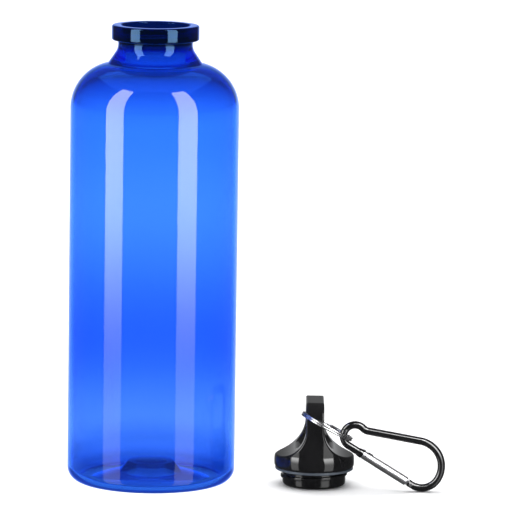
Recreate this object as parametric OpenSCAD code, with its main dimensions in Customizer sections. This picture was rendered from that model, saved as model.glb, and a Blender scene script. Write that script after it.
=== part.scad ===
// Rigid clear sports bottle, open, with its screw cap standing beside it.
// The cap's carrying loop holds a split ring, and the ring holds a small snap hook.
// Millimetres. The origin is the middle of the bottle's foot, and +Z is up.
// The front is -Y, and the cap stands on the +X side.

/* [Bottle] */
// Outer diameter of the bottle's wall
bottle_d = 73.5; // [60:0.5:90]
// Height from the foot to the top of the rim
bottle_h = 201; // [170:1:240]
// Thickness of the blown wall
wall = 1.5; // [1:0.1:2.5]
// Radius of the shoulder's arc
shoulder_r = 19.86; // [12:0.1:24]
// Radius of the corner between wall and foot
foot_corner_r = 6; // [3:0.5:10]
// Inner radius of the standing ring
foot_inner_r = 26; // [22:0.5:29]
// Height of the shallow dome under the base
base_dome_h = 3.5; // [2:0.5:6]
// Thickness of the base
base_t = 2.2; // [1.5:0.1:3]

/* [Neck] */
// Outer radius at the narrowest part of the neck
neck_r = 16.25; // [15.9:0.05:17]
// Outer radius of the rim's collar
rim_r = 19.05; // [18:0.05:21]
// Height of the rim's collar
rim_h = 6.6; // [5:0.1:9]
// Height of the neck between the shoulder and the rim
neck_h = 9.8; // [8:0.1:14]
// Slope of the neck's lower cone, from the vertical
neck_slope = 34; // [20:1:45]
// Radius of the neck's bore, which is the root of its thread
neck_bore_r = 14.95; // [14.5:0.05:15.1]

/* [Thread] */
// Rise of the thread in one turn
thread_pitch = 3.2; // [2.8:0.1:4]
// Turns of thread, on the plug and in the neck alike
thread_turns = 1.1; // [0.75:0.05:1.1]
// How far the ridge stands out of its wall
thread_depth = 0.88; // [0.5:0.02:0.9]

/* [Cap] */
// Distance from the bottle's axis to the cap's axis, to the right
cap_x = 71.8; // [60:0.1:100]
// Distance from the bottle's axis to the cap's axis, towards the back
cap_y = -5; // [-20:1:20]
// Outer radius of the cap's flange
flange_r = 17.6; // [16.5:0.1:18.5]
// Height of the threaded plug below the flange
plug_h = 8.15; // [8:0.05:10]
// Radius of the plug's wall under its thread
plug_r = 13.85; // [13.5:0.05:13.95]
// Thickness of the sealing ring under the flange
gasket_t = 1.1; // [0.8:0.1:1.1]
// Outer radius of the sealing ring
gasket_r = 17.15; // [16:0.05:17.5]
// Height of the cap's loop above the floor
loop_top = 37.8; // [37.4:0.1:40]
// Width of the loop's strap
loop_w = 7.9; // [6:0.1:9]
// Half of the hole in the loop, from front to back
loop_hole_half = 12.2; // [11:0.1:12.5]
// Radius of the flare between flange and strap
flare_r = 13.35; // [12:0.05:14]

/* [Split ring] */
// Outer diameter of the ring
ring_d = 24.9; // [24.5:0.1:25.2]
// Width of its flattened wire
ring_wire_w = 1.4; // [1:0.1:1.5]
// Thickness of its flattened wire
ring_wire_t = 0.95; // [0.6:0.05:1]
// Slope of the ring, down to the right
ring_slope = 27.5; // [26:0.5:29]

/* [Snap hook] */
// Diameter of the hook's bar
bar_d = 3.3; // [3:0.1:3.4]
// Slope of the closed gate, down to the right
hook_slope = 31.5; // [30:0.5:33]
// Radius of the small end
small_end_r = 5; // [4.5:0.1:5.5]
// Radius of the large end beside the hinge
large_end_r = 8; // [7:0.1:9]
// Angle between the back and the gate
back_angle = 21.4; // [20:0.1:23]
// Distance from the small end's centre to the gate's rivet, along the gate
hook_run = 31.9; // [30:0.1:34]

/* [Gate] */
// Outer diameter of the gate's tube
gate_d = 3.85; // [3.6:0.05:4]
// Diameter of the gate's bore
gate_bore_d = 2.8; // [2.8:0.05:2.9]
// Distance from the rivet to the gate's free end
gate_l = 24.7; // [24:0.1:25.4]
// Diameter of the rivet
rivet_d = 0.8; // [0.7:0.05:0.9]

/* [Hidden] */
$fn = 96;
past = 1; // how far a cutter runs past a face

// Bottle
bottle_r = bottle_d / 2;
rim_bottom = bottle_h - rim_h;
shoulder_top = rim_bottom - neck_h;
shoulder_x = bottle_r - shoulder_r;
neck_fillet_r = 6.3;
neck_waist_z = rim_bottom - 1.8;
cone_x = neck_r + neck_fillet_r * (1 - cos(neck_slope));
cone_z = neck_waist_z - neck_fillet_r * sin(neck_slope);
punt_cone_r = 12.5;
punt_top_r = 9.5;
punt_foot_z = 0.7 * base_dome_h;
punt_h = 6.5;
centre_disc_r = 7;
centre_disc_h = 0.4;
mouth_chamfer = 0.5;

// Cap
gasket_top = plug_h - 0.05;
flange_top = 13.5;
flange_corner_r = 1;
flare_z = flange_top + flare_r;
loop_corner_r = 9;
hole_bottom = 17.5;
hole_top = 34.8;
hole_corner_r = 3;
plug_hollow_r = 11.7;
plug_roof_z = 8.6;
spigot_r = 12.95;
spigot_top = 10.25;
socket_gap = 0.05;

// Thread: where each ridge starts, and its widths at foot and crest
plug_thread_z = 2.3;
plug_ridge = [1.7, 1];
neck_thread_z = bottle_h - 6;
neck_ridge = [1.3, 0.6];

// Split ring, placed from the cap's axis
ring_at = [5.2, -14.6, 28.6];
ring_tip = -6;

// Snap hook, placed from the cap's axis. Its own x runs along the gate from nose to hinge,
// its own y points into the opening, and its origin is the rivet.
hook_at = [42, -14, 3.35];
bar_r = bar_d / 2;
back_rise = 3.3;
blend_r = 4;
large_at = [0.8, large_end_r];
small_at = [-hook_run, small_end_r];
along = [cos(back_angle), sin(back_angle)];
outward = [-sin(back_angle), cos(back_angle)];
back_foot = small_at + back_rise * outward;
blend_run = sqrt(pow(small_end_r + blend_r, 2) - pow(blend_r + back_rise, 2));
back_start = back_foot + blend_run * along;
blend_at = back_start + blend_r * outward;
heading = (blend_at - small_at) / norm(blend_at - small_at);
blend_angle = atan2(heading.y, heading.x);
large_drop = -(large_at - back_foot) * outward;
wide_r = (large_drop + large_end_r * sin(back_angle)) / (1 + sin(back_angle));
wide_at = large_at - [wide_r - large_end_r, 0];
back_end = wide_at + wide_r * outward;
back_l = norm(back_end - back_start);

// Nose and hinge of the hook
nose_x = -gate_l - 0.2;
collar_r = 1.95;
collar_l = 1.3;
collar_taper = 1.2;
tongue_tip = -20.6;
tongue_t = 1.1;
tongue_bottom = -1.25;
tongue_top = 2.15;
notch_from = -24.2;
notch_to = -22.95;
notch_floor = -0.25;
fork_face = -1.35;
fork_floor = 1.75;
fork_gap = 1.6;

// Gate and what it holds
gate_r = gate_d / 2;
gate_bore_r = gate_bore_d / 2;
gate_end = -2.1;
gate_slot = 1.5;
gate_slot_end = -17.6;
spring_seat = -16.6;
hinge_plug = -4;
hinge_tongue_t = 1.3;
hinge_tongue_r = 1.25;
hinge_tongue_top = 0.6;
hinge_play = 0.05;
latch_at = [-23.6, 0.3];
latch_r = 0.45;
plunger_y = 1;
plunger_r = 0.25;
plunger_tip = 1.7;
plunger_head = [-6.5, -5.9];
plunger_head_r = 1.3;
spring_r = 0.95;
spring_wire_r = 0.16;
spring_from = -16.4;
spring_to = -7.1;
spring_turns = 9;

// A point at distance r and height z, turned by the angle a
function turned(r, a, z) = [r * cos(a), r * sin(a), z];

// Sides of a tube that joins rings of k points, with a face on each end
function tube_faces(rings, k) = concat(
    [[for (j = [k - 1 : -1 : 0]) j]],
    [for (i = [0 : rings - 2]) for (j = [0 : k - 1])
        [i * k + j, i * k + (j + 1) % k, (i + 1) * k + (j + 1) % k, (i + 1) * k + j]],
    [[for (j = [0 : k - 1]) (rings - 1) * k + j]]
);

// One raised helix. It starts at the height z with its foot sunk under the wall of radius r.
// side is 1 when it stands out of the wall and -1 when it stands into the bore.
module thread_ridge(r, z, widths, side) {
    steps_per_turn = 48;
    steps = ceil(thread_turns * steps_per_turn);
    ends = 8; // the ridge rises and falls over an eighth of its length
    sunk = 0.3;
    foot_w = widths[0];
    crest_w = widths[1];
    points = [for (i = [0 : steps])
        let (
            a = 360 * thread_turns * i / steps,
            h = z + thread_pitch * thread_turns * i / steps,
            ramp = min(1, ends * i / steps, ends * (steps - i) / steps),
            rise = thread_depth * ramp,
            foot = r - side * sunk,
            crest = r + side * (rise - sunk * (1 - ramp) / 2)
        )
        each [
            turned(foot, a, h - foot_w / 2), turned(crest, a, h - crest_w / 2),
            turned(crest, a, h + crest_w / 2), turned(foot, a, h + foot_w / 2)
        ]
    ];
    faces = tube_faces(steps + 1, 4);
    polyhedron(points, side > 0 ? faces : [for (f = faces) [for (j = [len(f) - 1 : -1 : 0]) f[j]]]);
}

// The solid outline of the bottle, as a half section
module bottle_outline() {
    square([shoulder_x, shoulder_top]);
    translate([0, foot_corner_r])
        square([bottle_r, bottle_h - rim_h - neck_h - foot_corner_r - shoulder_r]);
    square([bottle_r - foot_corner_r, foot_corner_r]);
    translate([bottle_r - foot_corner_r, foot_corner_r])
        intersection() {
            circle(foot_corner_r);
            translate([0, -foot_corner_r])
                square(foot_corner_r);
        }
    translate([shoulder_x, shoulder_top - shoulder_r])
        intersection() {
            circle(shoulder_r);
            square(shoulder_r);
        }
    neck_outline();
}

// The cone and waist between the shoulder and the rim, and the rim's rounded collar
module neck_outline() {
    cone_foot_x = cone_x + (cone_z - shoulder_top + past) * tan(neck_slope);
    rim_round = 0.85;
    polygon([
        [0, shoulder_top - past], [cone_foot_x, shoulder_top - past],
        [cone_x, cone_z], [0, cone_z]
    ]);
    difference() {
        translate([0, cone_z])
            square([cone_x, rim_bottom + past - cone_z]);
        translate([neck_r + neck_fillet_r, neck_waist_z])
            circle(neck_fillet_r);
    }
    translate([0, rim_bottom])
        square([rim_r - rim_round, rim_h]);
    translate([0, rim_bottom + rim_round])
        square([rim_r, rim_h - 2 * rim_round]);
    for (z = [rim_bottom + rim_round, bottle_h - rim_round])
        translate([rim_r - rim_round, z])
            circle(rim_round);
}

// The hollow under the base: a shallow dome with a blunt cone in its middle.
// lift raises the same shape by the base's thickness, for the inside.
module base_hollow(lift) {
    edge_r = foot_inner_r + lift / 2;
    dome_h = base_dome_h + lift;
    dome_r = (edge_r * edge_r + dome_h * dome_h) / (2 * dome_h);
    intersection() {
        translate([0, dome_h - dome_r])
            circle(dome_r, $fn = 200);
        square([edge_r, dome_h]);
    }
    polygon([
        [0, 0], [punt_cone_r + lift / 2, 0], [punt_cone_r + lift / 2, punt_foot_z + lift],
        [punt_top_r + lift / 3, punt_h + lift], [0, punt_h + lift]
    ]);
    square([centre_disc_r, punt_h + lift + (lift > 0 ? centre_disc_h : 0)]);
}

// The space inside the bottle, as a half section
module cavity_outline() {
    inner_r = bottle_r - wall;
    corner_r = foot_corner_r - wall;
    arc_r = shoulder_r - wall;
    lip_r = 1.6;
    difference() {
        union() {
            translate([0, base_t])
                square([inner_r - corner_r, corner_r]);
            translate([0, base_t + corner_r])
                square([inner_r, shoulder_top - shoulder_r - base_t - corner_r]);
            translate([inner_r - corner_r, base_t + corner_r])
                circle(corner_r);
            translate([shoulder_x, shoulder_top - shoulder_r])
                intersection() {
                    circle(arc_r);
                    square(arc_r);
                }
            translate([0, shoulder_top - shoulder_r])
                square([shoulder_x, arc_r]);
            translate([0, shoulder_top - wall - past])
                square([neck_bore_r + lip_r, lip_r + past]);
            translate([0, shoulder_top - past])
                square([neck_bore_r, rim_h + neck_h + 2 * past]);
            polygon([
                [0, bottle_h - mouth_chamfer], [neck_bore_r, bottle_h - mouth_chamfer],
                [neck_bore_r + 2 * mouth_chamfer, bottle_h + mouth_chamfer], [0, bottle_h + mouth_chamfer]
            ]);
        }
        translate([neck_bore_r + lip_r, shoulder_top - wall + lip_r])
            circle(lip_r);
        base_hollow(base_t);
    }
}

module bottle() {
    color([0.12, 0.3, 0.95, 0.6]) {
        rotate_extrude()
            difference() {
                bottle_outline();
                cavity_outline();
                base_hollow(0);
            }
        thread_ridge(neck_bore_r, neck_thread_z, neck_ridge, -1);
    }
}

// The cap's front outline: a flange that flares up into a narrow strap
module bell_outline() {
    flare_x = loop_w / 2 + flare_r;
    difference() {
        translate([-flange_r - past, plug_h])
            square([2 * (flange_r + past), loop_top - plug_h]);
        for (s = [-1, 1])
            translate([s * flare_x, flare_z])
                circle(flare_r, $fn = 160);
        for (s = [-1, 1])
            translate([s * (flare_x + flange_r) - flange_r - (s > 0 ? flare_r : -flare_r), flare_z])
                square([2 * flange_r, loop_top]);
        for (s = [-1, 1])
            translate([s * (flare_x + past) - past, flange_top])
                square([2 * past, flare_r]);
    }
}

// The cap's side outline: a tall arch with round shoulders
module arch_outline() {
    straight = loop_top - loop_corner_r;
    translate([-flange_r, 0])
        square([2 * flange_r, straight]);
    translate([loop_corner_r - flange_r, 0])
        square([2 * (flange_r - loop_corner_r), loop_top]);
    for (s = [-1, 1])
        translate([s * (flange_r - loop_corner_r), straight])
            circle(loop_corner_r);
}

// The hole in the loop, seen from the side
module loop_hole_outline() {
    low_r = 5;
    for (s = [-1, 1]) {
        translate([s * (loop_hole_half - hole_corner_r), hole_top - hole_corner_r])
            circle(hole_corner_r);
        translate([s * (loop_hole_half - low_r), hole_bottom + low_r])
            circle(low_r);
    }
    translate([hole_corner_r - loop_hole_half, hole_bottom + low_r])
        square([2 * (loop_hole_half - hole_corner_r), hole_top - hole_bottom - low_r]);
    translate([-loop_hole_half, hole_bottom + low_r])
        square([2 * loop_hole_half, hole_top - hole_bottom - low_r - hole_corner_r]);
    translate([low_r - loop_hole_half, hole_bottom])
        square([2 * (loop_hole_half - low_r), low_r + past]);
}

module across(width) {
    rotate([90, 0, 90])
        translate([0, 0, -width / 2])
            linear_extrude(width)
                children();
}

module at_cap() {
    translate([cap_x, cap_y, 0])
        children();
}

module cap_shell() {
    color([0.05, 0.05, 0.06])
        at_cap()
            difference() {
                intersection() {
                    rotate([90, 0, 0])
                        translate([0, 0, -flange_r - past])
                            linear_extrude(2 * (flange_r + past))
                                bell_outline();
                    across(3 * flange_r)
                        arch_outline();
                    union() {
                        translate([0, 0, plug_h + flange_corner_r])
                            cylinder(h = loop_top, r = flange_r);
                        translate([0, 0, plug_h])
                            cylinder(h = flange_corner_r, r1 = flange_r - flange_corner_r, r2 = flange_r);
                    }
                }
                across(3 * flange_r)
                    loop_hole_outline();
                translate([0, 0, plug_h - past])
                    cylinder(h = spigot_top + socket_gap - plug_h + past, r = spigot_r + socket_gap);
            }
}

// The plug is a cup, open below, with its spigot bonded into the shell's socket
module cap_plug() {
    round_r = 1.4;
    color([0.06, 0.06, 0.07])
        at_cap() {
            rotate_extrude()
                difference() {
                    union() {
                        translate([0, round_r])
                            square([plug_r, plug_h - round_r]);
                        square([plug_r - round_r, round_r + past]);
                        translate([plug_r - round_r, round_r])
                            circle(round_r);
                        translate([0, plug_h])
                            square([spigot_r, spigot_top - plug_h]);
                    }
                    translate([-past, -past])
                        square([plug_hollow_r + past, plug_roof_z + past]);
                }
            thread_ridge(plug_r, plug_thread_z, plug_ridge, 1);
        }
}

module cap_gasket() {
    running = 0.1;
    color([0.42, 0.5, 0.58])
        at_cap()
            translate([0, 0, gasket_top - gasket_t])
                difference() {
                    cylinder(h = gasket_t, r = gasket_r);
                    translate([0, 0, -past])
                        cylinder(h = gasket_t + 2 * past, r = plug_r + running);
                }
}

module split_ring() {
    mid_r = (ring_d - ring_wire_w) / 2;
    half_flat = (ring_wire_w - ring_wire_t) / 2;
    lap = 0.02;
    color([0.75, 0.75, 0.77])
        at_cap()
            translate(ring_at)
                rotate([0, ring_slope, 0])
                    rotate([ring_tip, 0, 0])
                        rotate_extrude()
                            for (s = [-1, 1])
                                translate([mid_r, s * (ring_wire_t - lap) / 2]) {
                                    square([2 * half_flat, ring_wire_t], center = true);
                                    for (t = [-1, 1])
                                        translate([t * half_flat, 0])
                                            circle(ring_wire_t / 2);
                                }
}

module in_hook_frame() {
    at_cap()
        translate(hook_at)
            rotate([0, hook_slope, 0])
                rotate([90, 0, 0])
                    children();
}

// A round bar along x, from one place to another
module bar_x(from, to, r) {
    translate([from, 0, 0])
        rotate([0, 90, 0])
            cylinder(h = to - from, r = r);
}

// A round bar bent about a centre, from the angle a by the angle turn
module bar_bend(centre, radius, a, turn) {
    translate(centre)
        rotate([0, 0, a])
            rotate_extrude(angle = turn)
                translate([radius, 0])
                    circle(bar_r);
}

// A bead, a hair thicker than the bar, over the place p where two stretches of bar meet
module bead(p, a) {
    bead_l = 0.3;
    bead_rise = 0.01;
    translate(p)
        rotate([0, 0, a])
            bar_x(-bead_l / 2, bead_l / 2, bar_r + bead_rise);
}

// A round cross pin along z at the place p
module cross_pin(p, r, half_l) {
    translate([p.x, p.y, -half_l])
        cylinder(h = 2 * half_l, r = r);
}

module carabiner_hook() {
    color([0.04, 0.04, 0.05])
        in_hook_frame()
            difference() {
                union() {
                    bar_x(small_at.x, nose_x, bar_r);
                    bar_bend(small_at, small_end_r, blend_angle, 270 - blend_angle);
                    bar_bend(blend_at, blend_r, blend_angle + 180, 90 + back_angle - blend_angle);
                    translate(back_start)
                        rotate([0, 0, back_angle])
                            bar_x(0, back_l, bar_r);
                    bar_bend(wide_at, wide_r, 0, 90 + back_angle);
                    bar_bend(large_at, large_end_r, -90, 90);
                    bar_x(fork_face, large_at.x, bar_r);
                    bead([small_at.x, 0], 0);
                    bead(small_at + small_end_r * heading, blend_angle + 90);
                    bead(back_start, back_angle);
                    bead(back_end, back_angle);
                    bead(wide_at + [wide_r, 0], 90);
                    bead([large_at.x, 0], 0);
                    bar_x(nose_x - collar_l, nose_x, collar_r);
                    translate([nose_x - collar_l - collar_taper, 0, 0])
                        rotate([0, 90, 0])
                            cylinder(h = collar_taper, r1 = bar_r, r2 = collar_r);
                    nose_tongue();
                }
                translate([fork_face - past, -2 * bar_r, -fork_gap / 2])
                    cube([fork_floor - fork_face + past, 4 * bar_r, fork_gap]);
                cross_pin([0, 0], rivet_d / 2, 2 * bar_r);
            }
}

// The flat tongue that the gate's forked end closes over, notched for the latch pin
module nose_tongue() {
    translate([0, 0, -tongue_t / 2])
        linear_extrude(tongue_t)
            difference() {
                translate([nose_x - collar_l / 2, tongue_bottom])
                    square([tongue_tip - nose_x + collar_l / 2, tongue_top - tongue_bottom]);
                translate([notch_from, notch_floor])
                    square([notch_to - notch_from, tongue_top - notch_floor + past]);
            }
}

module gate_rivet() {
    head_r = 0.8;
    head_h = 0.3;
    reach = bar_r - 0.1;
    color([0.25, 0.25, 0.27])
        in_hook_frame() {
            cross_pin([0, 0], rivet_d / 2, reach);
            for (s = [-1, 1])
                translate([0, 0, s * (reach + head_h / 2) - head_h / 2])
                    cylinder(h = head_h, r = head_r);
        }
}

module carabiner_gate() {
    chamfer = 0.3;
    color([0.78, 0.78, 0.8])
        in_hook_frame()
            difference() {
                union() {
                    bar_x(-gate_l, gate_end - chamfer, gate_r);
                    translate([gate_end - chamfer, 0, 0])
                        rotate([0, 90, 0])
                            cylinder(h = chamfer, r1 = gate_r, r2 = gate_r - chamfer);
                    hinge_tongue();
                }
                bar_x(spring_seat, hinge_plug, gate_bore_r);
                bar_x(-gate_l - past, gate_slot_end, gate_bore_r);
                translate([-gate_l - past, -2 * gate_r, -gate_slot / 2])
                    cube([gate_slot_end + gate_l + past, 4 * gate_r, gate_slot]);
                cross_pin([0, 0], rivet_d / 2 + hinge_play, gate_r);
                cross_pin(latch_at, latch_r, 2 * gate_r);
                translate([0, plunger_y, 0])
                    bar_x(hinge_plug - past, fork_floor, plunger_r + hinge_play);
            }
}

// The flat tongue that turns on the rivet, low enough on one side for the push pin to pass
module hinge_tongue() {
    translate([0, 0, -hinge_tongue_t / 2])
        linear_extrude(hinge_tongue_t)
            difference() {
                union() {
                    circle(hinge_tongue_r);
                    translate([gate_end - past, -hinge_tongue_r])
                        square([past - gate_end, 2 * hinge_tongue_r]);
                }
                translate([gate_end, hinge_tongue_top])
                    square([hinge_tongue_r - gate_end + past, hinge_tongue_r]);
            }
}

module latch_pin() {
    color([0.6, 0.6, 0.62])
        in_hook_frame()
            cross_pin(latch_at, latch_r, gate_r - 0.05);
}

// The coil spring in the gate's bore
module gate_spring() {
    sides = 6;
    steps = spring_turns * 14;
    points = [for (i = [0 : steps])
        let (
            a = 360 * spring_turns * i / steps,
            x = spring_from + (spring_to - spring_from) * i / steps
        )
        each [for (j = [0 : sides - 1])
            let (r = spring_r + spring_wire_r * cos(360 * j / sides))
            [x + spring_wire_r * sin(360 * j / sides), r * cos(a), r * sin(a)]]
    ];
    color([0.7, 0.7, 0.72])
        in_hook_frame()
            polyhedron(points, [for (f = tube_faces(steps + 1, sides)) [for (j = [len(f) - 1 : -1 : 0]) f[j]]]);
}

// The spring's push pin: its rod passes beside the rivet and bears on the fork's floor
module gate_plunger() {
    color([0.6, 0.6, 0.62])
        in_hook_frame() {
            bar_x(plunger_head[0], plunger_head[1], plunger_head_r);
            translate([0, plunger_y, 0])
                bar_x(plunger_head[0], plunger_tip, plunger_r);
        }
}

bottle();
cap_shell();
cap_plug();
cap_gasket();
split_ring();
carabiner_hook();
gate_rivet();
carabiner_gate();
latch_pin();
gate_spring();
gate_plunger();
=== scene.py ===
"""The looks of a clear sports bottle, its screw cap, split ring and snap hook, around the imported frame.

Lengths inside the builders are in millimetres, and to_mesh() turns them into metres.
"""

from math import acos, asin, atan2, cos, hypot, pi, radians, sin, sqrt, tan

import bmesh
import bpy
import numpy as np
from mathutils import Matrix, Vector


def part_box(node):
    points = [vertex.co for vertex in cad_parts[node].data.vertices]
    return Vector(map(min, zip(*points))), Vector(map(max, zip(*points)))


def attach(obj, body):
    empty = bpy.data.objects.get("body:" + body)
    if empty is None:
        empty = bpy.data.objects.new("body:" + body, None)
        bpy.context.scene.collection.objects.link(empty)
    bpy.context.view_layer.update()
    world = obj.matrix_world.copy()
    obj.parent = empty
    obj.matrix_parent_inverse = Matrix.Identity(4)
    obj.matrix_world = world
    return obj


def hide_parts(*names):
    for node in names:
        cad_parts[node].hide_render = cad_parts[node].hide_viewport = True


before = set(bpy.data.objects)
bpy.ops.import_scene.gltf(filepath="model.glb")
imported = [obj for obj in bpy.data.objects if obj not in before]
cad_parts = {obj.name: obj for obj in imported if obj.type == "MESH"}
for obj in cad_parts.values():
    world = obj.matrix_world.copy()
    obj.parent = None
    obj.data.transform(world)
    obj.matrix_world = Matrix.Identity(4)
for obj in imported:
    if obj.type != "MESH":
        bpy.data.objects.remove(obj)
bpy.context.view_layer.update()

MM = 0.001


def box_mm(node):
    """Lowest and highest corner of a CAD node, in millimetres."""
    low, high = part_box(node)
    return low / MM, high / MM


def middle(node):
    low, high = box_mm(node)
    return (low + high) / 2


# Sizes that come from the frame
BOTTLE_LOW, BOTTLE_HIGH = box_mm("bottle")
BOTTLE_R = (BOTTLE_HIGH.x - BOTTLE_LOW.x) / 2
BOTTLE_H = BOTTLE_HIGH.z
SHELL_LOW, SHELL_HIGH = box_mm("cap_shell")
FLANGE_R = (SHELL_HIGH.y - SHELL_LOW.y) / 2
LOOP_TOP = SHELL_HIGH.z
GASKET_LOW, GASKET_HIGH = box_mm("cap_gasket")
CAP_AXIS = Vector((middle("cap_gasket").x, middle("cap_gasket").y, 0))

# The snap hook's gate slopes down to the right by this much
HOOK_SLOPE = radians(31.5)


# ---------------------------------------------------------------- mesh builders

def placed(name, data):
    """A new object in the scene."""
    thing = bpy.data.objects.new(name, data)
    bpy.context.scene.collection.objects.link(thing)
    return thing


def to_mesh(name, points, faces, normals=None):
    """A smooth-shaded mesh object from points in millimetres."""
    mesh = bpy.data.meshes.new(name)
    mesh.from_pydata([tuple(p) for p in np.asarray(points, float) * MM], [], faces)
    mesh.validate()
    mesh.polygons.foreach_set("use_smooth", [True] * len(mesh.polygons))
    if normals is not None:
        mesh.normals_split_custom_set_from_vertices([tuple(n) for n in normals])
    return placed(name, mesh)


def arc(centre, radius, start, end, steps=12):
    """Points along an arc of a half section, with angles in degrees."""
    angles = np.radians(np.linspace(start, end, steps + 1))
    return [(centre[0] + radius * cos(a), centre[1] + radius * sin(a), 0) for a in angles]


def straight(start, end, pitch):
    """Points from start to end, no further apart than pitch, without the end."""
    count = max(1, int(np.ceil(hypot(end[0] - start[0], end[1] - start[1]) / pitch)))
    shares = [i / count for i in range(count)]
    return [(start[0] + s * (end[0] - start[0]), start[1] + s * (end[1] - start[1]), 0) for s in shares]


def rounded(corners, steps=5):
    """A half section whose corners, given as (r, z, radius), are rounded."""
    points = [corners[0][:2]]
    for before, corner, after in zip(corners, corners[1:], corners[2:]):
        here, radius = Vector(corner[:2]), corner[2]
        to_before = Vector(before[:2]) - here
        to_after = Vector(after[:2]) - here
        if radius == 0 or to_before.length == 0 or to_after.length == 0:
            points.append(tuple(here))
            continue
        half = to_before.angle(to_after) / 2
        run = min(radius / tan(half), 0.49 * to_before.length, 0.49 * to_after.length)
        bend_r = run * tan(half)
        start = here + to_before.normalized() * run
        end = here + to_after.normalized() * run
        centre = here + (to_before.normalized() + to_after.normalized()).normalized() * bend_r / sin(half)
        first = atan2(start.y - centre.y, start.x - centre.x)
        turn = (atan2(end.y - centre.y, end.x - centre.x) - first + pi) % (2 * pi) - pi
        for i in range(steps + 1):
            a = first + turn * i / steps
            points.append((centre.x + bend_r * cos(a), centre.y + bend_r * sin(a)))
    points.append(corners[-1][:2])
    return points


def lathe(name, profile, axis=Vector((0, 0, 0)), segments=192, shift=None):
    """Turns a half section about a vertical axis. A point on the axis becomes a pole.

    shift(radius, height, angles) gives the radii of one ring where it isn't round.
    """
    angles = np.arange(segments) * 2 * pi / segments
    points, rings = [], []
    for r, z in profile:
        start = len(points)
        if r < 1e-6:
            points.append((axis.x, axis.y, z))
            rings.append([start] * segments)
            continue
        radii = shift(r, z, angles) if shift else np.full(segments, r)
        points += [(axis.x + q * cos(a), axis.y + q * sin(a), z) for q, a in zip(radii, angles)]
        rings.append(list(range(start, start + segments)))
    faces = []
    for low, high in zip(rings, rings[1:]):
        for i in range(segments):
            j = (i + 1) % segments
            corners = [low[i], low[j], high[j], high[i]]
            face = [c for k, c in enumerate(corners) if c != corners[k - 1]]
            if len(face) > 2:
                faces.append(face)
    return to_mesh(name, points, faces)


def sweep(name, places, section):
    """Sweeps a closed section along places, each a (centre, across, up), with flat ends."""
    count = len(section)
    points = [c + across * u + up * v for c, across, up in places for u, v in section]
    faces = [
        [i * count + j, i * count + (j + 1) % count, (i + 1) * count + (j + 1) % count, (i + 1) * count + j]
        for i in range(len(places) - 1)
        for j in range(count)
    ]
    faces.append(list(range(count))[::-1])
    faces.append([(len(places) - 1) * count + j for j in range(count)])
    thing = to_mesh(name, points, faces)
    outward(thing)
    return thing


def outward(thing):
    """Turns a closed mesh's faces outwards."""
    shape = bmesh.new()
    shape.from_mesh(thing.data)
    bmesh.ops.recalc_face_normals(shape, faces=shape.faces)
    shape.to_mesh(thing.data)
    shape.free()


def weld(thing):
    """Joins points that lie in the same place."""
    shape = bmesh.new()
    shape.from_mesh(thing.data)
    bmesh.ops.remove_doubles(shape, verts=shape.verts, dist=1e-7)
    shape.to_mesh(thing.data)
    shape.free()


def sharp_ends(thing):
    """Keeps faces with many corners flat, with a crisp edge round them."""
    for face in thing.data.polygons:
        if face.loop_total > 4:
            face.use_smooth = False


def slope_of(field, points, h=0.001):
    """The gradient of a distance field, by central differences."""
    sides = []
    for axis in range(3):
        step = np.zeros(3)
        step[axis] = h
        sides.append((field(points + step) - field(points - step)) / (2 * h))
    return np.stack(sides, -1)


def skin(name, field, low, high, pitch):
    """A quad mesh of the surface where a distance field is zero, by surface nets."""
    low = np.array(low, float)
    axes = [np.arange(a, b + pitch, pitch) for a, b in zip(low, high)]
    inside = field(np.stack(np.meshgrid(*axes, indexing="ij"), -1)) < 0
    count = sum(
        inside[i:i + inside.shape[0] - 1, j:j + inside.shape[1] - 1, k:k + inside.shape[2] - 1].astype(int)
        for i in (0, 1) for j in (0, 1) for k in (0, 1)
    )
    mixed = (count > 0) & (count < 8)
    index = np.full(mixed.shape, -1)
    index[mixed] = np.arange(mixed.sum())
    points = low + (np.argwhere(mixed) + 0.5) * pitch
    faces = []
    for axis in range(3):
        u, v = np.eye(3, dtype=int)[(axis + 1) % 3], np.eye(3, dtype=int)[(axis + 2) % 3]
        first, second = np.moveaxis(inside, axis, 0)[:-1], np.moveaxis(inside, axis, 0)[1:]
        for leaving in (True, False):
            changed = (first & ~second) if leaving else (~first & second)
            at = np.argwhere(np.moveaxis(changed, 0, axis))
            ring = [at - u - v, at - v, at, at - u]
            quads = np.stack([index[tuple(c.T)] for c in ring], -1)
            faces.append(quads if leaving else quads[:, ::-1])
    faces = np.concatenate(faces)
    for _ in range(3):
        points = settle(field, relaxed(points, faces))
    normals = slope_of(field, points)
    normals /= np.linalg.norm(normals, axis=1)[:, None]
    return to_mesh(name, points, faces.tolist(), normals)


def relaxed(points, faces):
    """Each point moved halfway to the mean of its neighbours."""
    total, number = np.zeros_like(points), np.zeros(len(points))
    for i in range(4):
        for j in (i - 1, (i + 1) % 4):
            np.add.at(total, faces[:, i], points[faces[:, j]])
            np.add.at(number, faces[:, i], 1)
    return (points + total / number[:, None]) / 2


def settle(field, points):
    """Points moved onto the surface of a field by a few Newton steps."""
    for _ in range(4):
        slope = slope_of(field, points)
        square = np.maximum((slope ** 2).sum(-1), 0.2)
        points = points - slope * (field(points) / square)[:, None]
    return points


def meet(a, b, r):
    """Rounded intersection of two distance fields."""
    both = np.hypot(np.maximum(a + r, 0), np.maximum(b + r, 0))
    return np.minimum(np.maximum(a, b), -r) + both


def plate(u, v, half_u, half_v, r):
    """Distance to a rectangle with corners of radius r."""
    qu, qv = np.abs(u) - half_u + r, np.abs(v) - half_v + r
    return np.hypot(np.maximum(qu, 0), np.maximum(qv, 0)) + np.minimum(np.maximum(qu, qv), 0) - r


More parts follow.
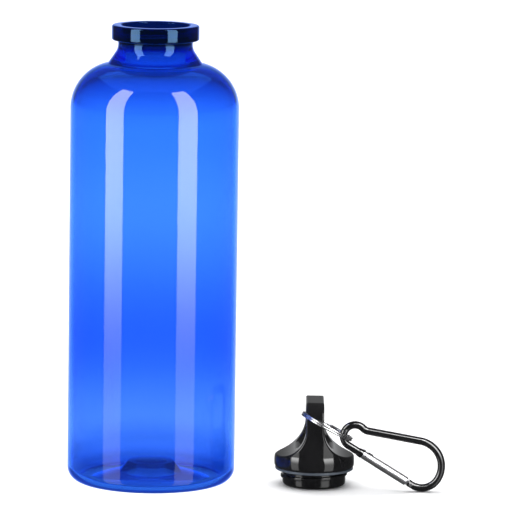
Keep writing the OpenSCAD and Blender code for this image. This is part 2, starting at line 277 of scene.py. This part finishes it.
def refined(name, node, edge):
    """A copy of a CAD node's mesh as a clean solid with rounded edges and smooth faces."""
    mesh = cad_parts[node].data.copy()
    mesh.name = name
    thing = placed(name, mesh)
    if mesh.has_custom_normals:
        mesh.attributes.remove(mesh.attributes["custom_normal"])
    shape = bmesh.new()
    shape.from_mesh(mesh)
    bmesh.ops.remove_doubles(shape, verts=shape.verts, dist=2e-6)
    bmesh.ops.dissolve_degenerate(shape, edges=shape.edges, dist=2e-6)
    bmesh.ops.dissolve_limit(shape, angle_limit=radians(0.3), verts=shape.verts, edges=shape.edges)
    for face in shape.faces:
        face.smooth = True
    shape.to_mesh(mesh)
    shape.free()
    bevel = thing.modifiers.new("rounded edges", "BEVEL")
    bevel.width = edge * MM
    bevel.segments = 2
    bevel.limit_method = "ANGLE"
    bevel.angle_limit = radians(35)
    bevel.harden_normals = True
    applied(thing)
    return thing


def applied(thing):
    """Replaces a thing's mesh by the result of its modifiers."""
    result = bpy.data.meshes.new_from_object(thing.evaluated_get(bpy.context.evaluated_depsgraph_get()))
    thing.modifiers.clear()
    thing.data = result


# ---------------------------------------------------------------- materials

def new_material(name):
    made = bpy.data.materials.new(name)
    made.use_nodes = True
    return made, made.node_tree.nodes, made.node_tree.links, made.node_tree.nodes["Principled BSDF"]


def noise(nodes, links, scale, detail=3, stretch=(1, 1, 1), turn=(0, 0, 0)):
    """A noise texture over the object's own coordinates."""
    place = nodes.new("ShaderNodeTexCoord")
    fit = nodes.new("ShaderNodeMapping")
    fit.inputs["Scale"].default_value = stretch
    fit.inputs["Rotation"].default_value = turn
    texture = nodes.new("ShaderNodeTexNoise")
    texture.inputs["Scale"].default_value = scale
    texture.inputs["Detail"].default_value = detail
    links.new(place.outputs["Object"], fit.inputs["Vector"])
    links.new(fit.outputs["Vector"], texture.inputs["Vector"])
    return texture.outputs["Fac"]


def coordinate(nodes, links, axis, kind="Object"):
    """A surface point's X, Y or Z, in metres for an object's own coordinates."""
    place = nodes.new("ShaderNodeTexCoord")
    parts = nodes.new("ShaderNodeSeparateXYZ")
    links.new(place.outputs[kind], parts.inputs["Vector"])
    return parts.outputs[axis]


def rescaled(nodes, links, value, before, after=(0, 1)):
    """A value moved from one range to another, and held inside it."""
    spread = nodes.new("ShaderNodeMapRange")
    for socket, number in zip(("From Min", "From Max", "To Min", "To Max"), (*before, *after)):
        spread.inputs[socket].default_value = number
    links.new(value, spread.inputs["Value"])
    return spread.outputs["Result"]


def reckoned(nodes, links, operation, *values):
    """A calculation on one or two values, each a socket or a number."""
    step = nodes.new("ShaderNodeMath")
    step.operation = operation
    for slot, value in zip(step.inputs, values):
        if isinstance(value, bpy.types.NodeSocket):
            links.new(value, slot)
        else:
            slot.default_value = value
    return step.outputs["Value"]


def between(nodes, links, value, low, high):
    """A noise value spread over low to high, from the range that noise mostly keeps to."""
    return rescaled(nodes, links, value, (0.3, 0.7), (low, high))


def ramp(nodes, links, value, stops):
    """A colour ramp with stops of (place, colour)."""
    colours = nodes.new("ShaderNodeValToRGB")
    colours.color_ramp.interpolation = "EASE"
    elements = colours.color_ramp.elements
    while len(elements) < len(stops):
        elements.new(0.5)
    for element, (place, colour) in zip(elements, stops):
        element.position = place
        element.color = (*colour, 1)
    links.new(value, colours.inputs["Fac"])
    return colours.outputs["Color"]


def bump(nodes, links, value, depth):
    """A bump of a given depth in millimetres, as a normal."""
    raised = nodes.new("ShaderNodeBump")
    raised.inputs["Strength"].default_value = 1
    raised.inputs["Distance"].default_value = depth * MM
    links.new(value, raised.inputs["Height"])
    return raised.outputs["Normal"]


def seam(nodes, links, x, width):
    """A raised line, all round a piece, where its mould's halves met at x."""
    off = reckoned(nodes, links, "SUBTRACT", coordinate(nodes, links, "X"), x * MM)
    gap = reckoned(nodes, links, "ABSOLUTE", off)
    return rescaled(nodes, links, gap, (0, width / 2 * MM), (1, 0))


def solid_finish(name, colours, metallic, roughness, grain, depth,
                 stretch=(1, 1, 1), turn=(0, 0, 0), **sockets):
    """A plastic, rubber or metal: two close colours, a range of roughness and a fine grain."""
    made, nodes, links, shader = new_material(name)
    cloud = noise(nodes, links, 90)
    fine = noise(nodes, links, grain, 4, stretch, turn)
    links.new(ramp(nodes, links, cloud, [(0.3, colours[0]), (0.7, colours[1])]), shader.inputs["Base Color"])
    links.new(between(nodes, links, fine, *roughness), shader.inputs["Roughness"])
    links.new(bump(nodes, links, fine, depth), shader.inputs["Normal"])
    shader.inputs["Metallic"].default_value = metallic
    for socket, value in sockets.items():
        shader.inputs[socket.replace("_", " ")].default_value = value
    return made


def tint_with_painted_shade(nodes, links, height):
    """The clear plastic's blue with painted light and shade over its height, a neck darkened partly by
    thicker plastic, and painted shade in the middle of the base.
    """
    # painted light and shade: the dark foot and the lighter and darker bands up the wall follow how light
    # falls; the dark neck and rim are partly thicker plastic, partly painted shade
    tint_and_shade = ramp(nodes, links, height, [
        (0.00, (0.04, 0.13, 0.40)),
        (0.05, (0.16, 0.34, 0.80)),
        (0.12, (0.36, 0.55, 1.00)),
        (0.31, (0.16, 0.36, 0.94)),
        (0.60, (0.29, 0.54, 1.00)),
        (0.79, (0.23, 0.49, 1.00)),
        (0.90, (0.07, 0.22, 0.72)),
        (0.94, (0.04, 0.12, 0.44)),
        (0.97, (0.001, 0.007, 0.055)),
    ])
    # painted shade: the middle of the base is darkened where the floor under the bottle lies in shadow
    dark_r, clear_r, darkest = 11, 14.5, 0.3
    place = nodes.new("ShaderNodeTexCoord")
    flat = nodes.new("ShaderNodeVectorMath")
    flat.operation = "MULTIPLY"
    flat.inputs[1].default_value = (1, 1, 0)
    reach = nodes.new("ShaderNodeVectorMath")
    reach.operation = "LENGTH"
    links.new(place.outputs["Object"], flat.inputs[0])
    links.new(flat.outputs["Vector"], reach.inputs[0])
    share = rescaled(nodes, links, reach.outputs["Value"], (dark_r * MM, clear_r * MM), (darkest, 1))
    shade = nodes.new("ShaderNodeVectorMath")
    shade.operation = "SCALE"
    links.new(tint_and_shade, shade.inputs[0])
    links.new(share, shade.inputs["Scale"])
    return shade.outputs["Vector"]


def painted_glow(nodes, links, height):
    """Painted glow: emitted light that brightens the thick foot and neck, and outlines a wall where it is
    seen edge-on.
    """
    # painted glow at the foot and the neck
    glows = [(0.00, 0.12), (0.02, 0.09), (0.06, 0), (0.86, 0), (0.91, 0.03), (0.96, 0.01)]
    foot_and_neck_glow = ramp(nodes, links, height, [(z, (g, g, g)) for z, g in glows])
    edge_on = nodes.new("ShaderNodeLayerWeight")
    edge_on.inputs["Blend"].default_value = 0.5
    outline = rescaled(nodes, links, edge_on.outputs["Facing"], (0.7, 1), (0, 0.9))
    return reckoned(nodes, links, "ADD", outline, foot_and_neck_glow)


def clear_blue():
    """Tinted clear plastic with painted light, shade and glow over its height, and a blown wall's faint
    ripple.
    """
    made, nodes, links, shader = new_material("clear_blue")
    height = rescaled(nodes, links, coordinate(nodes, links, "Z"), (0, BOTTLE_H * MM))
    # the base colour carries painted light and shade over the height and painted shade in the middle of the
    # base
    links.new(tint_with_painted_shade(nodes, links, height), shader.inputs["Base Color"])
    sheen = ramp(nodes, links, height, [(0.88, (1, 1, 1)), (0.93, (0.25, 0.55, 1))])
    links.new(sheen, shader.inputs["Specular Tint"])
    # painted glow: the plastic emits blue light at the foot, the neck and its edge-on outline, though it is
    # no lamp
    links.new(painted_glow(nodes, links, height), shader.inputs["Emission Strength"])
    shader.inputs["Emission Color"].default_value = (0.05, 0.22, 0.95, 1)
    ripple = noise(nodes, links, 35, 2, (1, 1, 0.3))
    links.new(between(nodes, links, noise(nodes, links, 400), 0.01, 0.05), shader.inputs["Roughness"])
    links.new(bump(nodes, links, ripple, 0.03), shader.inputs["Normal"])
    shader.inputs["Transmission Weight"].default_value = 1
    shader.inputs["IOR"].default_value = 1.5
    depth = nodes.new("ShaderNodeVolumeAbsorption")
    depth.inputs["Color"].default_value = (0.0, 0.55, 0.96, 1)
    depth.inputs["Density"].default_value = 300
    links.new(depth.outputs["Volume"], nodes["Material Output"].inputs["Volume"])
    return made


def add_seam(finish, x, width, height):
    """Raises a mould seam on top of a finish's grain."""
    nodes, links = finish.node_tree.nodes, finish.node_tree.links
    normal = nodes["Principled BSDF"].inputs["Normal"]
    grain = normal.links[0].from_socket
    raised = bump(nodes, links, seam(nodes, links, x, width), height)
    links.new(grain, raised.node.inputs["Normal"])
    links.new(raised, normal)


BLUE = clear_blue()
CAP_BLACK = solid_finish(
    "cap_black", [(0.008, 0.008, 0.009), (0.012, 0.012, 0.013)], 0, (0.05, 0.10), 700, 0.003,
    Specular_IOR_Level=0.6)
add_seam(CAP_BLACK, CAP_AXIS.x, 0.4, 0.02)
PLUG_BLACK = solid_finish(
    "plug_black", [(0.007, 0.007, 0.008), (0.012, 0.012, 0.013)], 0, (0.10, 0.18), 900, 0.004,
    Specular_IOR_Level=0.6)
SEAL_GREY = solid_finish(
    "seal_grey", [(0.07, 0.09, 0.12), (0.09, 0.115, 0.15)], 0, (0.4, 0.55), 1500, 0.008)
RING_STEEL = solid_finish(
    "ring_steel", [(0.58, 0.58, 0.59), (0.68, 0.68, 0.69)], 1, (0.16, 0.3), 1800, 0.004, (1, 1, 3))
HOOK_BLACK = solid_finish(
    "hook_black", [(0.007, 0.007, 0.008), (0.013, 0.013, 0.014)], 0, (0.06, 0.12), 1200, 0.002,
    Specular_IOR_Level=1)
GATE_SILVER = solid_finish(
    "gate_silver", [(0.62, 0.62, 0.64), (0.74, 0.74, 0.76)], 1, (0.3, 0.42), 700, 0.004,
    (6, 1, 1), (0, HOOK_SLOPE, 0))
PIN_STEEL = solid_finish(
    "pin_steel", [(0.42, 0.42, 0.44), (0.55, 0.55, 0.57)], 1, (0.25, 0.4), 2500, 0.003, (1, 4, 1))


def dress(thing, body, slot_name, finish, *nodes):
    """Gives a piece its material and its body, and hides the CAD nodes that it stands for."""
    thing.data.materials.clear()
    thing.data.materials.append(finish)
    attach(thing, body)
    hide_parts(*nodes)
    return thing


# ---------------------------------------------------------------- threads

THREAD_PITCH = 3.2
THREAD_TURNS = 1.1
THREAD_DEPTH = 0.88
# the share of the thread's length over which each end fades
THREAD_FADE = 1 / 8
NECK_THREAD_Z = BOTTLE_H - 6
PLUG_THREAD_Z = 2.3


def thread_rise(z, angles, start_z, foot_w, crest_w):
    """How far one helical ridge stands out at height z, for each angle."""
    rise = np.zeros(len(angles))
    for lap in (0, 1):
        turns = angles / (2 * pi) + lap
        ends = np.clip(np.minimum(turns, THREAD_TURNS - turns) / THREAD_TURNS / THREAD_FADE, 0, 1)
        off = np.abs(z - start_z - THREAD_PITCH * turns)
        flank = np.clip((foot_w / 2 - off) / ((foot_w - crest_w) / 2), 0, 1)
        rise = np.maximum(rise, THREAD_DEPTH * ends * flank * flank * (3 - 2 * flank))
    return rise


# ---------------------------------------------------------------- bottle

def bottle():
    """The blown bottle: base, wall, shoulder, neck and rim, outside and inside, in one closed skin."""
    wall, base_t, base_dome_h = 1.5, 2.2, 3.5
    foot_r, foot_inner_r = 6, 26
    shoulder_r, rim_h, neck_h, rim_r, rim_round = 19.86, 6.6, 9.8, 19.05, 0.85
    neck_r, neck_bend, slope = 16.25, 6.3, radians(34)
    bore_r, mouth, lip_r = 14.95, 0.5, 1.6
    punt_top_r, punt_h, punt_foot_r, punt_foot_z = 9.5, 6.5, 12.4, 2.7
    disc_r, disc_h, waist_drop = 7, 0.4, 1.8
    foot_x, shoulder_x = BOTTLE_R - foot_r, BOTTLE_R - shoulder_r
    rim_z = BOTTLE_H - rim_h
    shoulder_z = rim_z - neck_h - shoulder_r
    waist = (neck_r + neck_bend, rim_z - waist_drop)

    def dome(edge_r, height, inner_r):
        radius = (edge_r ** 2 + height ** 2) / (2 * height)
        return [
            (r, height - radius + sqrt(radius ** 2 - r ** 2), 0) for r in np.linspace(inner_r, edge_r, 15)
        ]

    # where the neck's cone meets the shoulder's arc
    cone_x = neck_r + neck_bend * (1 - cos(slope))
    cone_z = waist[1] - neck_bend * sin(slope)
    reach = (cone_x - shoulder_x) * cos(slope) + (cone_z - shoulder_z) * sin(slope)
    crease = np.degrees(slope + acos(reach / shoulder_r))

    outside = [(0, punt_h, 0), (punt_top_r, punt_h, 0.6), (punt_foot_r, punt_foot_z, 1)]
    outside += dome(foot_inner_r, base_dome_h, punt_foot_r + 1.6)[:-1] + [(foot_inner_r, 0, 0.8)]
    outside += arc((foot_x, foot_r), foot_r, -90, 0)
    outside += straight((BOTTLE_R, foot_r), (BOTTLE_R, shoulder_z), 8)[1:]
    outside += arc((shoulder_x, shoulder_z), shoulder_r, 0, crease, 24)[:-1]
    last = arc((shoulder_x, shoulder_z), shoulder_r, crease, crease, 1)[0]
    outside += [(last[0], last[1], 0.6)]
    bend_end = np.degrees(asin(waist_drop / neck_bend))
    outside += arc(waist, neck_bend, 180 + np.degrees(slope), 180 - bend_end, 14)
    outside += [(rim_r, rim_z, rim_round), (rim_r, BOTTLE_H, rim_round)]
    outside += [(bore_r + mouth, BOTTLE_H, 0.3), (bore_r, BOTTLE_H - mouth, 0.3)]
    inner_top = shoulder_z + shoulder_r - wall
    inside = straight((bore_r, BOTTLE_H - 1), (bore_r, inner_top + lip_r), 0.18)
    inside += arc((bore_r + lip_r, inner_top + lip_r), lip_r, 180, 270, 8)
    inside += arc((shoulder_x, shoulder_z), shoulder_r - wall, 90, 0, 24)
    inside += straight((BOTTLE_R - wall, shoulder_z), (BOTTLE_R - wall, base_t + foot_r - wall), 8)[1:]
    inside += arc((foot_x, base_t + foot_r - wall), foot_r - wall, 0, -90)
    inside += dome(foot_inner_r + base_t / 2, base_dome_h + base_t, punt_foot_r + 2)[::-1]
    punt_z = punt_h + base_t
    inside += [(punt_foot_r + 1.2, punt_foot_z + 1.6, 0.6), (punt_top_r + 0.7, punt_z, 0.8)]
    inside += [(disc_r, punt_z, 0.15), (disc_r, punt_z + disc_h, 0.15), (0, punt_z + disc_h, 0)]

    def shift(r, z, angles):
        if abs(r - bore_r) > 1e-6:
            return np.full(len(angles), r)
        return r - thread_rise(z, angles, NECK_THREAD_Z, 1.5, 0.5)

    made = lathe("bottle_clear", rounded(outside + inside), shift=shift)
    # without this the clear wall's dark shadow shows through its own base
    made.visible_shadow = False
    made.visible_diffuse = False
    return dress(made, "bottle", "clear_blue", BLUE, "bottle")


# ---------------------------------------------------------------- cap

def cap_shell():
    """The cap's moulding, whose round flange flares up into a flat carrying loop."""
    plug_h, flange_top, flare_r, strap_w = SHELL_LOW.z, 13.5, 13.35, 7.9
    arch_r, hole_half, hole_low, hole_high = 9, 12.2, 17.5, 34.8
    socket_r, socket_top, crown = 13, 10.3, 0.22
    edge, skirt_edge, socket_edge, pitch = 0.7, 0.9, 0.1, 0.4

    def field(p):
        x, y, z = p[..., 0] - CAP_AXIS.x, p[..., 1] - CAP_AXIS.y, p[..., 2]
        qx, qz = strap_w / 2 + flare_r - np.abs(x), flange_top + flare_r - z
        outside_bell = np.hypot(np.maximum(qx, 0), np.maximum(qz, 0)) + np.minimum(np.maximum(qx, qz), 0)
        bell = flare_r - outside_bell
        arch = plate(y, z, FLANGE_R, LOOP_TOP, arch_r)
        radius = np.hypot(x, y)
        body = meet(bell, arch, edge)
        crowned = crown * ((z - (plug_h + flange_top) / 2) / (flange_top - plug_h) * 2) ** 2
        body = meet(body, radius - FLANGE_R + np.minimum(crowned, 2 * crown), edge)
        body = meet(body, plug_h - z, skirt_edge)
        hole_r = np.where(z > (hole_low + hole_high) / 2, 3.0, 5.0)
        hole = plate(y, z - (hole_low + hole_high) / 2, hole_half, (hole_high - hole_low) / 2, hole_r)
        body = meet(body, -hole, edge)
        return meet(body, -meet(radius - socket_r, z - socket_top, socket_edge), socket_edge)

    margin = 3 * pitch * Vector((1, 1, 1))
    made = skin("cap_shell_moulding", field, SHELL_LOW - margin, SHELL_HIGH + margin, pitch)
    return dress(made, "cap", "cap_black", CAP_BLACK, "cap_shell")


def cap_plug():
    """The threaded plug, a cup open below."""
    plug_r, hollow_r, roof_z, spigot_r, spigot_top, shoulder_z = 13.85, 11.7, 8.6, 12.95, 10.25, 8.15
    foot_round, lip, thread_top = 1.4, 0.6, 7.9
    profile = [(0, roof_z, 0), (hollow_r, roof_z, 0.8), (hollow_r, 0, 0.5), (hollow_r + lip, 0, 0)]
    profile += arc((plug_r - foot_round, foot_round), foot_round, -90, 0, 8)
    profile += straight((plug_r, foot_round), (plug_r, thread_top), 0.12)[1:]
    profile += [(plug_r, shoulder_z, 0.15), (spigot_r, shoulder_z, 0.1)]
    profile += [(spigot_r, spigot_top, 0.2), (0, spigot_top, 0)]

    def shift(r, z, angles):
        if abs(r - plug_r) > 1e-6:
            return np.full(len(angles), r)
        return r + thread_rise(z, angles, PLUG_THREAD_Z, 1.8, 0.9)

    made = lathe("cap_plug_moulding", rounded(profile), CAP_AXIS, shift=shift)
    return dress(made, "cap", "plug_black", PLUG_BLACK, "cap_plug")


def cap_gasket():
    """The flat sealing ring, with softly rounded edges."""
    low, high = GASKET_LOW.z, GASKET_HIGH.z
    outer, inner, corner = (GASKET_HIGH.x - GASKET_LOW.x) / 2, 13.95, 0.3
    half_z = (low + high) / 2
    profile = rounded([
        (inner, half_z, 0), (inner, low, corner), (outer, low, corner),
        (outer, high, corner), (inner, high, corner), (inner, half_z, 0),
    ])
    made = lathe("cap_seal", profile, CAP_AXIS)
    weld(made)
    return dress(made, "gasket", "seal_grey", SEAL_GREY, "cap_gasket")


# ---------------------------------------------------------------- split ring

def split_ring():
    """Two turns of flattened wire. One turn steps up to the other where the wire's ends stand apart."""
    centre = middle("split_ring")
    wire_w, wire_t, outer_r = 1.4, 0.93, 12.45
    slope, tip = radians(27.5), radians(-6)
    tilt = Matrix.Rotation(slope, 3, "Y") @ Matrix.Rotation(tip, 3, "X")
    mid_r = outer_r - wire_w / 2
    step_from, step_turn = radians(50), radians(26)
    steps = 300
    flat = (wire_w - wire_t) / 2
    section = [
        (side * flat + wire_t / 2 * cos(a), wire_t / 2 * sin(a))
        for side, start in ((1, -pi / 2), (-1, pi / 2))
        for a in np.linspace(start, start + pi, 9)
    ]
    places = []
    for i in range(steps + 1):
        run = (4 * pi - step_turn) * i / steps
        climb = min(1, max(0, (run - 2 * pi + step_turn) / step_turn))
        level = (climb * climb * (3 - 2 * climb) - 0.5) * wire_t
        a = step_from + run
        across = tilt @ Vector((cos(a), sin(a), 0))
        up = tilt @ Vector((0, 0, 1))
        places.append((np.array(centre + across * mid_r + up * level), np.array(across), np.array(up)))
    made = sweep("split_ring_coil", places, section)
    sharp_ends(made)
    return dress(made, "ring", "ring_steel", RING_STEEL, "split_ring")


# ---------------------------------------------------------------- snap hook

def snap_hook():
    """The hook's bar, the gate and their pins, with rounded edges and clean faces."""
    hook = refined("hook_bar", "carabiner_hook", 0.12)
    dress(hook, "hook", "hook_black", HOOK_BLACK, "carabiner_hook")
    gate = refined("hook_gate", "carabiner_gate", 0.1)
    dress(gate, "gate", "gate_silver", GATE_SILVER, "carabiner_gate")
    rivet = refined("hook_rivet", "gate_rivet", 0.1)
    dress(rivet, "hook", "pin_steel", PIN_STEEL, "gate_rivet")
    for node in ("latch_pin", "gate_spring", "gate_plunger"):
        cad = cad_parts[node]
        cad.data.materials.clear()
        cad.data.materials.append(PIN_STEEL)


# ---------------------------------------------------------------- studio

def floor():
    """A plain pale floor."""
    size = 40
    mesh = bpy.data.meshes.new("floor")
    corners = [(-size, -size, 0), (size, -size, 0), (size, size, 0), (-size, size, 0)]
    mesh.from_pydata(corners, [], [(0, 1, 2, 3)])
    thing = placed("floor", mesh)
    made, nodes, links, shader = new_material("floor")
    tone = noise(nodes, links, 3)
    tones = [(0.3, (0.86, 0.86, 0.87)), (0.7, (0.88, 0.88, 0.88))]
    links.new(ramp(nodes, links, tone, tones), shader.inputs["Base Color"])
    shader.inputs["Roughness"].default_value = 0.9
    shader.inputs["Specular IOR Level"].default_value = 0.1
    mesh.materials.append(made)
    thing.visible_glossy = False


def only_reflected(thing):
    """Hides a lamp or a panel from everything but reflections."""
    thing.visible_camera = False
    thing.visible_diffuse = False
    thing.visible_transmission = False


def upright(name, azimuth, away, width, low, high, finish):
    """A tall panel that faces the bottle."""
    a = radians(azimuth)
    out, across = Vector((sin(a), -cos(a), 0)), Vector((cos(a), sin(a), 0))
    ring = ((1, low), (-1, low), (-1, high), (1, high))
    reflector(name, [out * away + across * side * width / 2 + Vector((0, 0, z)) for side, z in ring], finish)


def reflector(name, corners, finish):
    """A glowing panel that is seen in reflections only."""
    mesh = bpy.data.meshes.new(name)
    mesh.from_pydata([tuple(c) for c in corners], [], [(0, 1, 2, 3)])
    mesh.materials.append(finish)
    panel = placed(name, mesh)
    only_reflected(panel)
    panel.visible_shadow = False


def glow(name, strength, stops):
    """A light-emitting finish whose strength changes with height, from 1 m below the floor to 1 m above."""
    made = bpy.data.materials.new(name)
    made.use_nodes = True
    nodes, links = made.node_tree.nodes, made.node_tree.links
    nodes.remove(nodes["Principled BSDF"])
    height = rescaled(nodes, links, coordinate(nodes, links, "Z"), (-1, 1))
    light = nodes.new("ShaderNodeEmission")
    light.inputs["Strength"].default_value = strength
    shades = [((z + 1) / 2, (share,) * 3) for z, share in stops]
    links.new(ramp(nodes, links, height, shades), light.inputs["Color"])
    links.new(light.outputs["Emission"], nodes["Material Output"].inputs["Surface"])
    return made


def surrounding():
    """An even pale light for everything but reflections, which see a dark room before a white backdrop."""
    pale, dark_room, white_backdrop = 0.3, 0.07, 0.7
    world = bpy.data.worlds.new("studio")
    bpy.context.scene.world = world
    world.use_nodes = True
    nodes, links = world.node_tree.nodes, world.node_tree.links
    behind = rescaled(nodes, links, coordinate(nodes, links, "Y", "Generated"), (0.85, 0.99))
    low_down = rescaled(nodes, links, coordinate(nodes, links, "Z", "Generated"), (0.25, -0.05))
    backdrop = reckoned(nodes, links, "MULTIPLY", behind, low_down)
    reflected = rescaled(nodes, links, backdrop, (0, 1), (dark_room, white_backdrop))
    ray = nodes.new("ShaderNodeLightPath")
    choice = nodes.new("ShaderNodeMix")
    choice.inputs["A"].default_value = pale
    links.new(reflected, choice.inputs["B"])
    links.new(ray.outputs["Is Glossy Ray"], choice.inputs["Factor"])
    links.new(choice.outputs["Result"], nodes["Background"].inputs["Strength"])
    nodes["Background"].inputs["Color"].default_value = (0.97, 0.98, 1, 1)


def accent(name, place, target, width, height, power, pieces):
    """A small light, seen only as a highlight on some pieces."""
    light = bpy.data.lights.new(name, "AREA")
    light.shape = "RECTANGLE"
    light.size, light.size_y, light.energy = width, height, power
    lamp = placed(name, light)
    lamp.location = place
    lamp.rotation_euler = (Vector(target) - Vector(place)).to_track_quat("-Z", "Y").to_euler()
    only_reflected(lamp)
    lit = bpy.data.collections.new(name)
    for piece in pieces:
        lit.objects.link(bpy.data.objects[piece])
    lamp.light_linking.receiver_collection = lit


def studio():
    """A wide light overhead, two tall strips in front that fade out low down, and an accent on the hook."""
    surrounding()
    low, high, away = -0.4, 0.85, 0.5
    strip = glow("strip_glow", 8.5, [(low, 0.12), (-0.04, 0.2), (0.1, 1), (high, 1)])
    for name, azimuth, width in (("strip_left", -53, 0.23), ("strip_right", 46.5, 0.24)):
        upright(name, azimuth, away, width, low, high, strip)
    light = bpy.data.lights.new("overhead", "AREA")
    light.size, light.energy = 5, 230
    lamp = placed("overhead", light)
    lamp.location = (0, 1, 3)
    lamp.visible_glossy = False
    hook = middle("carabiner_hook") * MM
    pieces = ("hook_bar", "hook_gate", "hook_rivet", "split_ring_coil")
    accent("hook_key", hook + Vector((0.012, -0.05, 0.07)), hook, 0.07, 0.012, 0.034, pieces)
    bpy.context.scene.view_settings.view_transform = "Standard"


def camera():
    """The camera, slightly above the objects and far away, with a long lens."""
    place, tilt, roll, focal = (0.0454, -1.982, 0.403), radians(8.7), radians(0.83), 321.1
    forward = Vector((0, cos(tilt), -sin(tilt)))
    right = Vector((1, 0, 0))
    up = right.cross(forward)
    rolled_right = right * cos(roll) + up * sin(roll)
    rolled_up = up * cos(roll) - right * sin(roll)
    data = bpy.data.cameras.new("camera")
    data.lens = focal
    data.sensor_width = 36
    data.clip_end = 100
    thing = placed("camera", data)
    turn = Matrix((rolled_right, rolled_up, -forward)).transposed().to_4x4()
    thing.matrix_world = Matrix.Translation(place) @ turn
    bpy.context.scene.camera = thing


camera()
floor()
bottle()
cap_shell()
cap_plug()
cap_gasket()
split_ring()
snap_hook()
studio()
